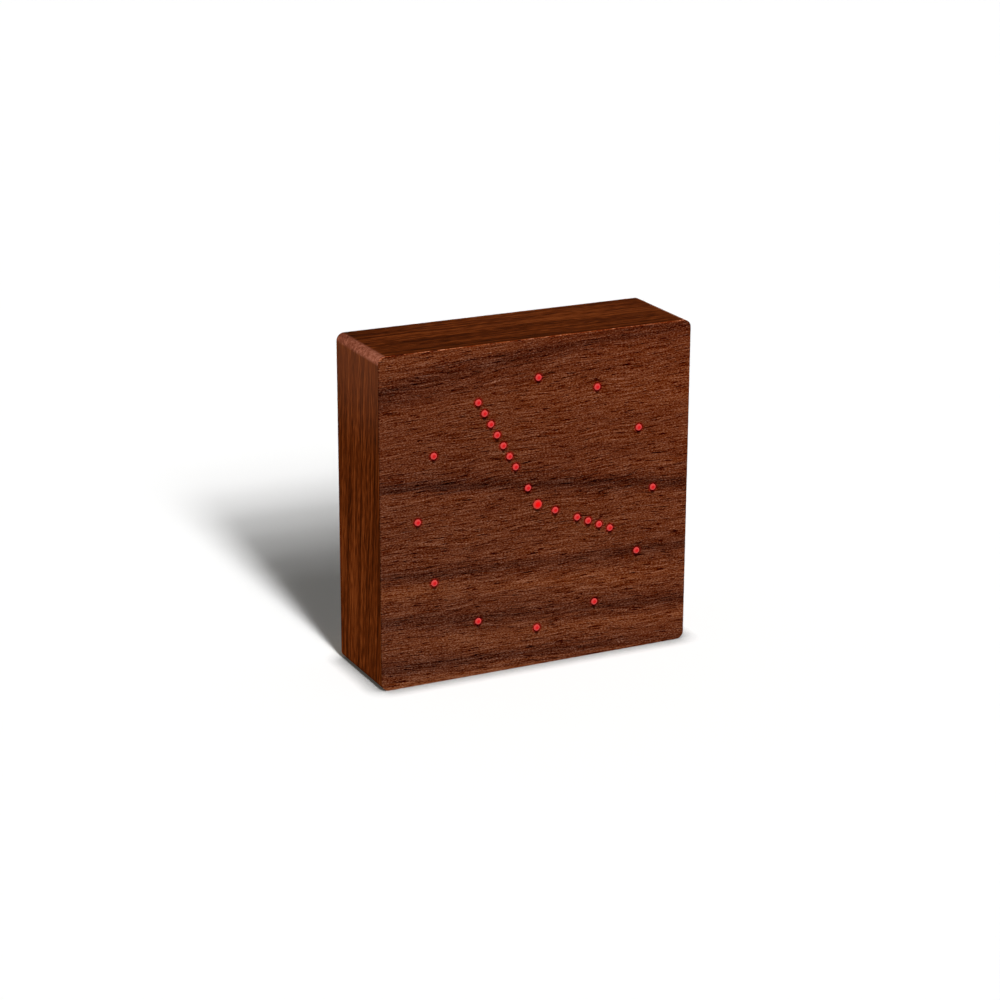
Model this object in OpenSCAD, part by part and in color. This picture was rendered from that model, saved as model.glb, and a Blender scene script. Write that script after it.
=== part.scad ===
// Square wooden block clock that shows the time with lit dots.
// Millimetres, +Z up, the front face looks along -Y, the origin lies under the middle of the block.

/* [Block] */
// Width of the block
block_w = 150; // [135:1:170]
// Height of the block
block_h = 150; // [135:1:170]
// Depth of the block, front to back
block_d = 45; // [43:1:60]
// Radius of the four long corners
corner_r = 3.5; // [3:0.5:6]
// Thickness of the wood veneer
veneer_t = 0.6; // [0.4:0.1:1]
// Hairline seam between two veneer strips
veneer_seam = 0.02; // [0.02:0.01:0.05]
// Board wall of the case beside the two covers
case_wall = 8.4; // [8:0.2:9]
// Ledge inside the case that the mask and the rear cover rest on
ledge_w = 3; // [2:0.5:4]
// Side of the glue blocks in the case's inner corners
glue_block_w = 14; // [12:0.5:15]
// Gap round a cover in its opening
cover_gap = 0.2; // [0.1:0.05:0.4]

/* [Dots] */
// Distance from the ring of hour dots to the block's nearest sides
ring_margin = 17.5; // [17:0.5:19]
// Distance between neighbouring dots of a hand
dot_pitch = 6; // [5:0.1:6.2]
// Radius at which the innermost dot of each hand sits
inner_dot_r = 9.5; // [8.5:0.1:10.5]
// Diameter of a dot
dot_d = 2.8; // [2.4:0.1:4]
// Diameter of the dot at the centre
centre_dot_d = 4.1; // [3:0.1:5]
// How far the dots stand out of the veneer
dot_proud = 0.5; // [0.3:0.1:1]
// Width of a dot's sloping rim, as a share of its diameter
dot_rim_share = 0.22; // [0.1:0.01:0.3]
// Gap between a dot and its hole
dot_gap = 0.05; // [0.03:0.01:0.1]
// Dots of the minute hand between the inner dot and the ring
minute_dots = 6; // [4:1:6]
// Dots of the hour hand beyond the inner dot
hour_dots = 4; // [2:1:4]
// Hour that the dots show
shown_hour = 3; // [0:1:5]
// Minute that the dots show
shown_minute = 55; // [40:5:55]

/* [Display] */
// Thickness of the light-spreading sheet
diffuser_t = 0.5; // [0.3:0.1:0.8]
// Thickness of the slotted light mask
mask_t = 2.6; // [2.4:0.1:3.5]
// Width of a slot in the light mask
slot_w = 1; // [0.9:0.05:1.2]
// How far a slot runs past its first and last lamp
slot_over = 1.4; // [1:0.1:2]
// Length of a lamp chip, along its spoke
lamp_l = 1.2; // [0.8:0.1:1.4]
// Width of a lamp chip, across its spoke
lamp_w = 0.6; // [0.4:0.1:0.7]
// Height of a lamp chip
lamp_h = 0.5; // [0.3:0.1:0.8]
// Thickness of both circuit boards
board_t = 1.6; // [1.2:0.1:2]
// Gap round the display board inside the case
board_gap = 0.6; // [0.4:0.1:1]
// Side of a lamp driver chip
driver_w = 7; // [5:0.5:9]
// Height of a lamp driver chip
driver_h = 1; // [0.8:0.1:1.4]
// Distance of the driver chips from the display's centre
driver_r = 42; // [38:1:46]

/* [Rear cover] */
// Thickness of the rear cover
cover_t = 2.5; // [2:0.1:3]
// How far the rear cover lies below the case's back edge
cover_recess = 1; // [0.5:0.1:2]
// Length of the posts that carry the main board
post_len = 8; // [7.5:0.1:9]
// Diameter of those posts
post_d = 5; // [4.5:0.1:6]
// Diameter of the small sound holes
sound_hole_d = 1.5; // [1:0.1:2]
// Distance between neighbouring sound holes
sound_hole_pitch = 3; // [2.6:0.1:3.5]
// Thickness of the ribs behind the rear cover
rib_t = 1.2; // [1:0.1:1.6]
// Depth of those ribs
rib_h = 4; // [3:0.5:4.5]
// Gap between the locating rim and the case
rim_gap = 0.3; // [0.2:0.1:0.5]
// Depth of the field sunk round the buttons
panel_sink = 0.4; // [0.2:0.1:0.6]
// Border of that field round the buttons
panel_border = 4; // [3:0.5:5]
// How far the cover screws' heads are sunk
screw_sink = 0.6; // [0.4:0.1:0.8]

/* [Buttons] */
// Diameter of a button
button_d = 7; // [6:0.1:8]
// Distance between two buttons
button_pitch = 18; // [14:1:20]
// How far a button stands out of the rear cover
button_proud = 0.8; // [0.5:0.1:1]
// Travel of a button
button_travel = 0.5; // [0.25:0.05:0.6]
// Gap between a button and its hole
button_gap = 0.15; // [0.1:0.05:0.3]
// How far a button's collar reaches out behind the cover
collar_reach = 1.2; // [0.8:0.1:1.5]
// Thickness of a button's collar
collar_t = 1; // [0.8:0.1:1.2]
// Free play between the collar and the cover
collar_play = 0.1; // [0.05:0.05:0.2]
// Side of a push switch's housing
tact_w = 6; // [5:0.5:7]
// Height of a push switch's housing
tact_h = 3.5; // [3:0.1:4]
// Diameter of a push switch's plunger
plunger_d = 3.4; // [3:0.1:3.6]
// How far the plunger stands out of its housing at rest
plunger_out = 1.5; // [1.2:0.1:2]
// Running gap round the plunger
plunger_gap = 0.05; // [0.03:0.01:0.1]

/* [Sound switch] */
// Width of the slide switch's knob, along its travel
knob_w = 4; // [3:0.1:5]
// Height of the knob
knob_h = 3; // [2.5:0.1:4]
// Travel of the knob
knob_travel = 2; // [1.5:0.1:3]
// Gap round the knob in its slot
knob_gap = 0.2; // [0.15:0.05:0.3]
// Length of the slide switch's housing
slider_l = 8.6; // [8:0.1:10]
// Width of the slide switch's housing
slider_w = 4; // [3.6:0.1:5]
// Height of the slide switch's housing
slider_h = 3.5; // [3:0.1:4]
// Side of the slide switch's lever
lever_w = 1.5; // [1.2:0.1:1.8]

/* [Power socket] */
// Outer width of the power socket's shell
socket_w = 9; // [8.9:0.05:9.4]
// Outer height of the shell
socket_h = 3.3; // [3.2:0.05:3.6]
// Wall of the shell
socket_wall = 0.3; // [0.25:0.05:0.4]

/* [Battery bay] */
// Diameter of a battery cell
cell_d = 10.5; // [10:0.1:10.6]
// Length of a battery cell with its button
cell_len = 44.5; // [43:0.5:45]
// Number of cells, side by side
cell_count = 4; // [2:1:4]
// Gap between neighbouring cells
cell_gap = 0.5; // [0.3:0.1:1]
// Room for the contacts at the ends of the cells
contact_room = 3; // [2.5:0.1:4]
// Thickness of the bay's walls and floor
bay_wall = 1.6; // [1.5:0.1:2]
// Height of the bay's lower inner wall over the ground
bay_z = 24; // [22:0.5:26]
// Thickness of the battery door
door_t = 2; // [1.6:0.1:2.2]
// Gap round the battery door
door_gap = 0.3; // [0.2:0.05:0.4]
// Diameter of the door's hinge pins
hinge_d = 1.2; // [1:0.1:1.4]
// Length of a hinge pin beyond the door
hinge_len = 1.2; // [1:0.1:1.6]
// Running gap round a hinge pin
hinge_gap = 0.05; // [0.03:0.01:0.1]

/* [Main board] */
// Gap between the main board's sides and the glue blocks
main_side_gap = 2; // [1:0.5:4]
// Gap between the main board's upper edge and the case
main_top_gap = 8.4; // [7:0.1:10]
// Distance from the bay to the main board's lower edge
main_lift = 8; // [5:0.5:9]
// Distance of the posts and screws from the main board's edges
post_inset = 4; // [3.5:0.1:5]
// Distance of the buttons' row from the board's upper edge
button_drop = 18; // [15:0.5:20]
// Distance of the switch and the socket from the board's lower edge
low_row_rise = 9; // [8:0.5:12]
// Distance of the buzzer and the microphone from the board's sides
sound_inset = 10; // [8:0.5:11]
// Distance of the switch and the socket from the board's sides
low_row_inset = 17; // [16:0.5:22]
// Diameter of the buzzer
buzzer_d = 12; // [10:0.5:14]
// Height of the buzzer
buzzer_h = 6; // [5:0.1:7]
// Diameter of the microphone
mic_d = 6; // [5:0.1:7]
// Height of the microphone
mic_h = 2.7; // [2:0.1:3.5]
// Side of the clock chip
chip_w = 10; // [7:0.5:12]
// Height of the clock chip
chip_h = 1.4; // [1:0.1:1.8]
// Diameter of the crystal's can
crystal_d = 2.8; // [2:0.1:3.2]
// Length of the crystal's can
crystal_len = 8; // [6:0.5:9]
// Diameter of a capacitor
capacitor_d = 5; // [4:0.5:6.5]
// Height of a capacitor
capacitor_h = 6.5; // [5:0.5:7]
// Distance between the two capacitors
capacitor_pitch = 9; // [7:0.5:12]
// Width of the flat cable between the boards
ribbon_w = 14; // [12:0.5:18]
// Thickness of the flat cable
ribbon_t = 0.9; // [0.6:0.1:1.2]
// Height of a cable plug over its board
plug_h = 5; // [4.5:0.1:6]
// Diameter of a battery lead
lead_d = 1.4; // [1.1:0.1:1.6]

/* [Screws] */
// Shank diameter of the rear cover's screws
cover_screw_d = 3; // [2.6:0.1:3.2]
// Length of the rear cover's screws
cover_screw_len = 12; // [10:1:16]
// Shank diameter of the board screws
board_screw_d = 2; // [1.8:0.1:2.4]
// How deep the board screws enter their posts
board_screw_grip = 5; // [4:0.5:7]
// Diameter of a board screw's head
board_screw_head_d = 3.8; // [3.2:0.1:4.2]
// Height of a board screw's head
board_screw_head_h = 1.3; // [1:0.1:1.6]
// Gap between a screw's shank and its hole
screw_gap = 0.05; // [0.03:0.01:0.1]

/* [Hidden] */
$fn = 48;

// Extra length of a cut, so that it runs clear of the face
cut = 1;
mid_z = block_h / 2;

// Stations along Y, from the front to the back
front_y = -block_d / 2;
veneer_back_y = front_y + veneer_t;
diffuser_back_y = veneer_back_y + diffuser_t;
mask_back_y = diffuser_back_y + mask_t;
display_back_y = mask_back_y + board_t;
back_y = block_d / 2;
cover_out_y = back_y - cover_recess;
cover_in_y = cover_out_y - cover_t;
cover_mid_y = cover_out_y - cover_t / 2;
main_back_y = cover_in_y - post_len;
main_front_y = main_back_y - board_t;

// Openings of the case
case_w = block_w - 2 * veneer_t;
case_h = block_h - 2 * veneer_t;
cover_open_w = case_w - 2 * case_wall;
cover_open_h = case_h - 2 * case_wall;
inner_w = cover_open_w - 2 * ledge_w;
inner_h = cover_open_h - 2 * ledge_w;
opening_r = 2;
screw_x = inner_w / 2 - glue_block_w / 2;
screw_dz = inner_h / 2 - glue_block_w / 2;
screw_head_d = 1.8 * cover_screw_d;
screw_seat_y = cover_out_y - screw_sink;

// The hands as angles, clockwise from twelve, in steps of one minute
hand_steps = 60;
hour_marks = 12;
minute_angle = shown_minute * 360 / hand_steps;
hour_angle = shown_hour * 360 / hour_marks + floor(shown_minute / 12) * 360 / hand_steps;
ring_r = min(block_w, block_h) / 2 - ring_margin;
spoke_in_r = ring_r - minute_dots * dot_pitch;
lamp_radii = concat([inner_dot_r], [for (k = [0:minute_dots]) ring_r - k * dot_pitch]);
mask_eye_r = inner_dot_r + 2;

// Display board, with eight corners, and its screws
display_r = min(inner_w, inner_h) / 2 - board_gap;
corner_angle = 22.5;
display_corner_r = display_r / cos(corner_angle);
display_screw_r = display_corner_r - board_screw_head_d;

// Battery bay, seen from the front
cell_pitch = cell_d + cell_gap;
bay_w = cell_len + contact_room;
bay_h = cell_count * cell_pitch;
bay_mid_z = bay_z + bay_h / 2;
trough_d = cell_d + cell_gap - 0.2;
cell_y = cover_mid_y - door_t / 2 - cell_gap / 2 - cell_d / 2;
bay_floor_y = cell_y - trough_d / 2;
contact_t = 0.3;
contact_w = 7;
leaf_w = 5;
leaf_slant = 0.75;
leaf_tip_x = -0.5;
leaf_tip_w = 2;
door_lap = 0.8;
door_open_w = bay_w + 2 * door_lap;
door_open_h = bay_h + 2 * door_lap;
door_open_z = bay_z - door_lap;
door_w = door_open_w - 2 * door_gap;
door_top_z = door_open_z + door_open_h - door_gap;
hinge_z = door_open_z + door_gap + door_t / 2;
scoop_r = 9;
scoop_depth = 1.3;
grip_w = 2 * sqrt(scoop_r * scoop_r - (scoop_r - scoop_depth) * (scoop_r - scoop_depth));
grip_pitch = 2;
grip_groove_r = 0.4;

// Main board, which fills the room over the battery bay, and what stands on it
main_w = inner_w - 2 * (glue_block_w + main_side_gap);
main_z = bay_z + bay_h + bay_wall + main_lift;
main_h = mid_z + inner_h / 2 - main_top_gap - main_z;
main_mid_z = main_z + main_h / 2;
post_x = main_w / 2 - post_inset;
post_dz = main_h / 2 - post_inset;
button_z = main_z + main_h - button_drop;
low_row_z = main_z + low_row_rise;
sound_x = main_w / 2 - sound_inset;
mic_x = -sound_x;
socket_x = main_w / 2 - low_row_inset;
switch_x = -socket_x;
chip_x = 2.5 * chip_w - main_w / 2;
crystal_x = chip_x + 1.2 * chip_w;
crystal_z = main_mid_z - chip_w;
capacitor_x = main_w / 2 - 5 * capacitor_d;
capacitor_z = main_mid_z - 1.6 * capacitor_d;
plunger_top_y = main_back_y + tact_h + plunger_out;
collar_y = cover_in_y - collar_play;
plug_z = main_mid_z + 2;
plug_body_h = 7;
ribbon_r = (main_front_y - display_back_y - plug_h) / 2;
ribbon_leg = 4;
lead_bend_r = 2;
lead_y = main_back_y + lead_bend_r;
lead_turn_z = main_z + 1.5;
// The chain of cells starts on the right and ends there too if their number is even
last_side = cell_count % 2 == 0 ? 1 : -1;
lead_near_x = bay_w / 2 + bay_wall + lead_d / 2 + 0.5;
negative_lead_x = last_side * lead_near_x;
positive_lead_x = last_side > 0 ? lead_near_x + lead_d + 1 : lead_near_x;
positive_tag_z = bay_z + cell_pitch / 2;
negative_tag_z = bay_z + bay_h - cell_pitch / 2;
tag_w = 2;
plunger_in = 1.5;

// Slide switch of the sound sensor; at rest its knob stands at the left end of its travel
knob_rest_x = switch_x - knob_travel / 2;
knob_top_y = cover_out_y + button_proud;
flange_t = 1;
flange_play = 0.2;
flange_w = knob_w + 2 * knob_travel + 2;
flange_h = knob_h + 2;
knob_back_y = cover_in_y - flange_play;
lever_in = 1.5;
lever_y = main_back_y + slider_h - lever_in;

// Power socket
socket_back_y = cover_out_y - 0.3;
socket_plug_depth = 3;
tongue_short = 1.5;
tongue_t = 0.7;
fill_gap = 0.03;

// Ribs and rings behind the rear cover
rim_x = inner_w / 2 - rim_gap - rib_t / 2;
rim_dz = inner_h / 2 - rim_gap - rib_t / 2;
rim_end_x = inner_w / 2 - glue_block_w - 1;
rim_end_dz = inner_h / 2 - glue_block_w - 1;
bay_side_x = (bay_w + bay_wall) / 2;
well_r = button_d / 2 + collar_reach + 0.3;
well_depth = 2.2;
ring_t = 1;
rail_dz = flange_h / 2 + knob_gap + rib_t / 2;
rail_reach = flange_w / 2 + knob_travel;
ring_gap = 0.3;
sound_ring_r = sound_hole_pitch + sound_hole_d / 2 + 0.5;

// Building aids

// Draws a flat outline in the X-Z plane and gives it a thickness along Y
module along_y(y, thickness) {
    translate([0, y + thickness, 0])
        rotate([90, 0, 0])
            linear_extrude(thickness)
                children();
}

// Rectangle with round corners, about its own middle
module round_rect(w, h, r) {
    square([w - 2 * r, h], center = true);
    square([w, h - 2 * r], center = true);
    for (sx = [-1, 1], sz = [-1, 1])
        translate([sx * (w / 2 - r), sz * (h / 2 - r)])
            circle(r);
}

// Outline with straight sides and round ends
module slot_shape(w, h) {
    square([w - h, h], center = true);
    for (s = [-1, 1])
        translate([s * (w - h) / 2, 0])
            circle(h / 2);
}

// Puts children at a clock position on the display
module at_dial(angle, r) {
    translate([r * sin(angle), mid_z + r * cos(angle)])
        children();
}

// Puts a child at the four corners of a rectangle
module at_corners(x, dz, z) {
    for (sx = [-1, 1], sz = [-1, 1])
        translate([sx * x, z + sz * dz])
            children();
}

// Upright round post along Y
module post(x, z, y, length, d) {
    translate([x, y + length, z])
        rotate([90, 0, 0])
            cylinder(d = d, h = length);
}

// Screw with its head towards +Y for dir = 1 and towards -Y for dir = -1, head seat at y
module screw(x, z, y, dir, shank_d, shank_len, head_d, head_h) {
    translate([x, y, z])
        rotate([dir * -90, 0, 0])
            difference() {
                union() {
                    translate([0, 0, -shank_len])
                        cylinder(d = shank_d, h = shank_len);
                    cylinder(d1 = head_d, d2 = head_d * 0.8, h = head_h);
                }
                for (a = [0, 90])
                    rotate([0, 0, a])
                        translate([-head_d * 0.3, -head_d * 0.07, head_h * 0.4])
                            cube([head_d * 0.6, head_d * 0.14, head_h]);
            }
}

// Wooden casing

// Hairline mitre cuts, at 45 degrees, through the corners of a frame about the middle of the block
module mitre_cuts() {
    reach = 2 * (case_wall + ledge_w + corner_r);
    for (sx = [-1, 1], sz = [-1, 1])
        translate([sx * (block_w / 2 - corner_r), mid_z + sz * (block_h / 2 - corner_r)])
            rotate(sx * sz * 45)
                square([reach, veneer_seam], center = true);
}

// Four mitred boards with a ledge for the light mask in front and for the rear cover behind
module case_frame() {
    color("#b08a5e")
        difference() {
            along_y(veneer_back_y, back_y - veneer_back_y)
                translate([0, mid_z])
                    round_rect(case_w, case_h, corner_r - veneer_t);
            along_y(veneer_back_y - cut, block_d)
                translate([0, mid_z])
                    round_rect(inner_w, inner_h, opening_r);
            along_y(veneer_back_y - cut, diffuser_t + mask_t + cut)
                translate([0, mid_z])
                    round_rect(cover_open_w, cover_open_h, opening_r);
            along_y(cover_in_y, block_d)
                translate([0, mid_z])
                    round_rect(cover_open_w, cover_open_h, opening_r);
            along_y(front_y, block_d + cut)
                mitre_cuts();
        }
}

// One strip of veneer round each side, joined on the boards' mitres
module side_veneer() {
    color("#5a2c16")
        along_y(veneer_back_y, back_y - veneer_back_y)
            difference() {
                translate([0, mid_z])
                    round_rect(block_w, block_h, corner_r);
                translate([0, mid_z])
                    round_rect(case_w, case_h, corner_r - veneer_t);
                mitre_cuts();
            }
}

module face_veneer() {
    color("#6b351c")
        along_y(front_y, veneer_t)
            difference() {
                translate([0, mid_z])
                    round_rect(block_w, block_h, corner_r);
                for (k = [0:hour_marks - 1])
                    at_dial(k * 360 / hour_marks, ring_r)
                        circle(dot_d / 2 + dot_gap);
                hand_dots_2d(minute_angle, minute_dots)
                    circle(dot_d / 2 + dot_gap);
                hand_dots_2d(hour_angle, hour_dots)
                    circle(dot_d / 2 + dot_gap);
                at_dial(0, 0)
                    circle(centre_dot_d / 2 + dot_gap);
            }
}

module glue_blocks() {
    color("#b08a5e")
        difference() {
            along_y(mask_back_y, cover_in_y - mask_back_y)
                at_corners(screw_x, screw_dz, mid_z)
                    square(glue_block_w, center = true);
            along_y(cover_in_y - cover_screw_len, cover_screw_len + cut)
                at_corners(screw_x, screw_dz, mid_z)
                    circle(cover_screw_d / 2 + screw_gap);
            along_y(veneer_back_y, block_d)
                difference() {
                    translate([0, mid_z])
                        square([block_w, block_h], center = true);
                    translate([0, mid_z])
                        round_rect(inner_w, inner_h, opening_r);
                }
        }
}

// Lit dots

// Puts a child at every dot of a hand, from the spoke's inner end outwards, and at the inner dot
module hand_dots_2d(angle, count) {
    at_dial(angle, inner_dot_r)
        children();
    for (k = [0:count - 1])
        at_dial(angle, spoke_in_r + k * dot_pitch)
            children();
}

// One dot: a short pin in the veneer with a sloping rim and a flat top
module dot(angle, r, d) {
    translate([r * sin(angle), veneer_back_y, mid_z + r * cos(angle)])
        rotate([90, 0, 0])
            rotate_extrude()
                polygon([
                    [0, 0],
                    [d / 2, 0],
                    [d / 2, veneer_t + dot_proud * 0.35],
                    [d / 2 - dot_rim_share * d, veneer_t + dot_proud],
                    [0, veneer_t + dot_proud]
                ]);
}

module hand_dots(angle, count) {
    dot(angle, inner_dot_r, dot_d);
    for (k = [0:count - 1])
        dot(angle, spoke_in_r + k * dot_pitch, dot_d);
}

module hour_ring_dots() {
    color("#e8202a")
        for (k = [0:hour_marks - 1])
            dot(k * 360 / hour_marks, ring_r, dot_d);
}

module minute_hand_dots() {
    color("#e8202a")
        hand_dots(minute_angle, minute_dots);
}

module hour_hand_dots() {
    color("#e8202a")
        hand_dots(hour_angle, hour_dots);
}

module centre_dot() {
    color("#ff1018")
        dot(0, 0, centre_dot_d);
}

// Display behind the face

module diffuser_sheet() {
    color("#f2efe6")
        along_y(veneer_back_y, diffuser_t)
            translate([0, mid_z])
                round_rect(cover_open_w - 2 * cover_gap, cover_open_h - 2 * cover_gap, opening_r);
}

module display_screw_holes(d) {
    for (k = [0:3])
        at_dial(corner_angle + 90 * k, display_screw_r)
            circle(d / 2);
}

module light_mask() {
    color("#1b1b1d")
        along_y(diffuser_back_y, mask_t)
            difference() {
                translate([0, mid_z])
                    round_rect(cover_open_w - 2 * cover_gap, cover_open_h - 2 * cover_gap, opening_r);
                translate([0, mid_z])
                    circle(mask_eye_r);
                for (k = [0:hand_steps - 1])
                    translate([0, mid_z])
                        rotate(k * 360 / hand_steps)
                            translate([-slot_w / 2, spoke_in_r - slot_over])
                                square([slot_w, ring_r - spoke_in_r + 2 * slot_over]);
                display_screw_holes(board_screw_d + 2 * screw_gap);
            }
}

module lamp_matrix() {
    color("#ffd9b0")
        along_y(mask_back_y - lamp_h, lamp_h) {
            for (k = [0:hand_steps - 1], r = lamp_radii)
                translate([0, mid_z])
                    rotate(k * 360 / hand_steps)
                        translate([-lamp_w / 2, r - lamp_l / 2])
                            square([lamp_w, lamp_l]);
            at_dial(0, 0)
                square(lamp_l, center = true);
        }
}

module display_board() {
    color("#14532d")
        along_y(mask_back_y, board_t)
            difference() {
                translate([0, mid_z])
                    rotate(corner_angle)
                        circle(r = display_corner_r, $fn = 8);
                display_screw_holes(board_screw_d + 2 * screw_gap);
            }
}

module lamp_drivers() {
    color("#202224")
        along_y(display_back_y, driver_h)
            for (k = [0:3])
                at_dial(45 + 90 * k, driver_r)
                    square(driver_w, center = true);
}

module display_screws() {
    color("#c9ccd0")
        for (k = [0:3])
            screw(
                display_screw_r * sin(corner_angle + 90 * k),
                mid_z + display_screw_r * cos(corner_angle + 90 * k),
                display_back_y, 1, board_screw_d, board_t + mask_t - 0.3,
                board_screw_head_d, board_screw_head_h
            );
}

// Rear cover with its battery bay

module sound_holes(x, z) {
    for (k = [0:6])
        translate([x, z])
            rotate(k * 60)
                translate([k == 6 ? 0 : sound_hole_pitch, 0])
                    circle(sound_hole_d / 2);
}

module cover_cutouts() {
    for (k = [-1:1])
        translate([k * button_pitch, button_z])
            circle(button_d / 2 + button_gap);
    translate([switch_x, low_row_z])
        square([knob_w + knob_travel + 2 * knob_gap, knob_h + 2 * knob_gap], center = true);
    translate([socket_x, low_row_z])
        slot_shape(socket_w + 2 * knob_gap, socket_h + 2 * knob_gap);
    translate([mic_x, button_z])
        circle(sound_hole_d / 2);
    sound_holes(sound_x, button_z);
    at_corners(screw_x, screw_dz, mid_z)
        circle(cover_screw_d / 2 + screw_gap);
    translate([0, door_open_z + door_open_h / 2])
        square([door_open_w, door_open_h], center = true);
}

// Slit in the bay's end wall for a contact's tag
module tag_slot(side, z) {
    translate([side * (bay_w + bay_wall) / 2, lead_y, z - contact_t / 2])
        cube([bay_wall + cut, tag_w + 0.2, contact_t + 0.2], center = true);
}

module bay_shell() {
    difference() {
        along_y(bay_floor_y - bay_wall, cover_in_y - bay_floor_y + bay_wall)
            translate([0, bay_mid_z])
                square([bay_w + 2 * bay_wall, bay_h + 2 * bay_wall], center = true);
        along_y(cell_y, cover_out_y - cell_y)
            translate([0, bay_mid_z])
                square([bay_w, bay_h], center = true);
        for (k = [0:cell_count - 1])
            translate([-bay_w / 2, cell_y, bay_z + (k + 0.5) * cell_pitch])
                rotate([0, 90, 0])
                    cylinder(d = trough_d, h = bay_w);
        tag_slot(1, positive_tag_z);
        tag_slot(last_side, negative_tag_z);
    }
}

// Straight rib between two points behind the cover, level or upright
module rib(x1, z1, x2, z2) {
    translate([min(x1, x2) - rib_t / 2, min(z1, z2) - rib_t / 2])
        square([abs(x2 - x1) + rib_t, abs(z2 - z1) + rib_t]);
}

module ring_2d(x, z, inner_r) {
    translate([x, z])
        difference() {
            circle(inner_r + ring_t);
            circle(inner_r);
        }
}

// Locating rim along the four sides, between the glue blocks
module cover_rim() {
    for (s = [-1, 1]) {
        rib(-rim_end_x, mid_z + s * rim_dz, rim_end_x, mid_z + s * rim_dz);
        rib(s * rim_x, mid_z - rim_end_dz, s * rim_x, mid_z + rim_end_dz);
    }
}

// Ribs from the battery bay and the posts to the rim
module cover_ribs() {
    bay_top_z = bay_z + bay_h + bay_wall / 2;
    bay_low_z = bay_z - bay_wall / 2;
    for (s = [-1, 1]) {
        for (share = [0.2, 0.8])
            rib(s * bay_side_x, bay_z + share * bay_h, s * rim_x, bay_z + share * bay_h);
        rib(s * button_pitch / 2, bay_top_z, s * button_pitch / 2, mid_z + rim_dz);
        rib(s * button_pitch, bay_low_z, s * button_pitch, mid_z - rim_dz);
        rib(s * (post_x + post_d / 2), main_mid_z - post_dz, s * rim_x, main_mid_z - post_dz);
        rib(s * post_x, main_mid_z + post_dz + post_d / 2, s * post_x, mid_z + rim_dz);
    }
    rib(0, bay_low_z, 0, mid_z - rim_dz);
}

// Wells that the buttons' collars run in, and rails for the switch's knob
module cover_guides() {
    along_y(cover_in_y - well_depth, well_depth) {
        for (k = [-1:1])
            ring_2d(k * button_pitch, button_z, well_r);
        for (s = [-1, 1])
            translate([switch_x, low_row_z + s * rail_dz])
                rib(-rail_reach, 0, rail_reach, 0);
    }
    along_y(main_back_y + buzzer_h + ring_gap, post_len - buzzer_h - ring_gap)
        ring_2d(sound_x, button_z, sound_ring_r);
    along_y(cover_in_y - mic_h, mic_h)
        ring_2d(mic_x, button_z, mic_d / 2 + knob_gap);
}

module rear_cover() {
    color("#26262a")
        difference() {
            union() {
                along_y(cover_in_y, cover_t)
                    difference() {
                        translate([0, mid_z])
                            round_rect(cover_open_w - 2 * cover_gap, cover_open_h - 2 * cover_gap, opening_r);
                        cover_cutouts();
                    }
                bay_shell();
                along_y(main_back_y, post_len)
                    at_corners(post_x, post_dz, main_mid_z)
                        difference() {
                            circle(post_d / 2);
                            circle(board_screw_d / 2 + screw_gap);
                        }
                along_y(cover_in_y - rib_h, rib_h) {
                    cover_rim();
                    cover_ribs();
                }
                cover_guides();
            }
            along_y(screw_seat_y, block_d)
                at_corners(screw_x, screw_dz, mid_z)
                    circle(screw_head_d / 2 + cover_gap);
            along_y(cover_out_y - panel_sink, block_d)
                translate([0, button_z])
                    slot_shape(2 * button_pitch + button_d + 2 * panel_border, button_d + 2 * panel_border);
            for (s = [-1, 1])
                translate([s * (door_open_w / 2 + hinge_len / 2), cover_mid_y, hinge_z])
                    rotate([0, 90, 0])
                        cylinder(d = hinge_d + 2 * hinge_gap, h = hinge_len + 0.4, center = true);
            translate([0, cover_out_y + scoop_r - scoop_depth, door_open_z + door_open_h])
                sphere(scoop_r);
        }
}

module cover_screws() {
    head_h = back_y - screw_seat_y - 0.3;
    color("#8b8e93")
        for (sx = [-1, 1], sz = [-1, 1])
            screw(
                sx * screw_x, mid_z + sz * screw_dz, screw_seat_y, 1,
                cover_screw_d, screw_seat_y - cover_in_y + cover_screw_len - 1, screw_head_d, head_h
            );
}

// Battery door: a flap on two pins at its lower edge, with grip grooves by its upper edge
module battery_door() {
    color("#26262a")
        difference() {
            union() {
                translate([-door_w / 2, cover_mid_y - door_t / 2, hinge_z])
                    cube([door_w, door_t, door_top_z - hinge_z]);
                translate([0, cover_mid_y, hinge_z])
                    rotate([0, 90, 0])
                        cylinder(d = door_t, h = door_w, center = true);
                translate([0, cover_mid_y, hinge_z])
                    rotate([0, 90, 0])
                        cylinder(d = hinge_d, h = door_w + 2 * (door_gap + hinge_len - 0.2), center = true);
            }
            for (k = [1:4])
                translate([0, cover_mid_y + door_t / 2, door_top_z - (k + 0.5) * grip_pitch])
                    rotate([0, 90, 0])
                        cylinder(r = grip_groove_r, h = grip_w, center = true);
        }
}

// Batteries and contacts

// Cells lie side by side and point left and right in turn
module cell_at(k) {
    translate([0, cell_y, bay_z + (k + 0.5) * cell_pitch])
        rotate([0, k % 2 == 0 ? 90 : -90, 0])
            translate([0, 0, (bay_w / 2 - contact_t) - cell_len])
                children();
}

module battery_cells() {
    button_h = 1;
    color("#3f7d4f")
        for (k = [0:cell_count - 1])
            cell_at(k)
                rotate_extrude()
                    polygon([
                        [0, 0],
                        [cell_d / 2 - 0.5, 0],
                        [cell_d / 2, 0.5],
                        [cell_d / 2, cell_len - button_h - 0.5],
                        [cell_d / 2 - 0.5, cell_len - button_h],
                        [1.9, cell_len - button_h],
                        [1.9, cell_len],
                        [0, cell_len]
                    ]);
}

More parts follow.
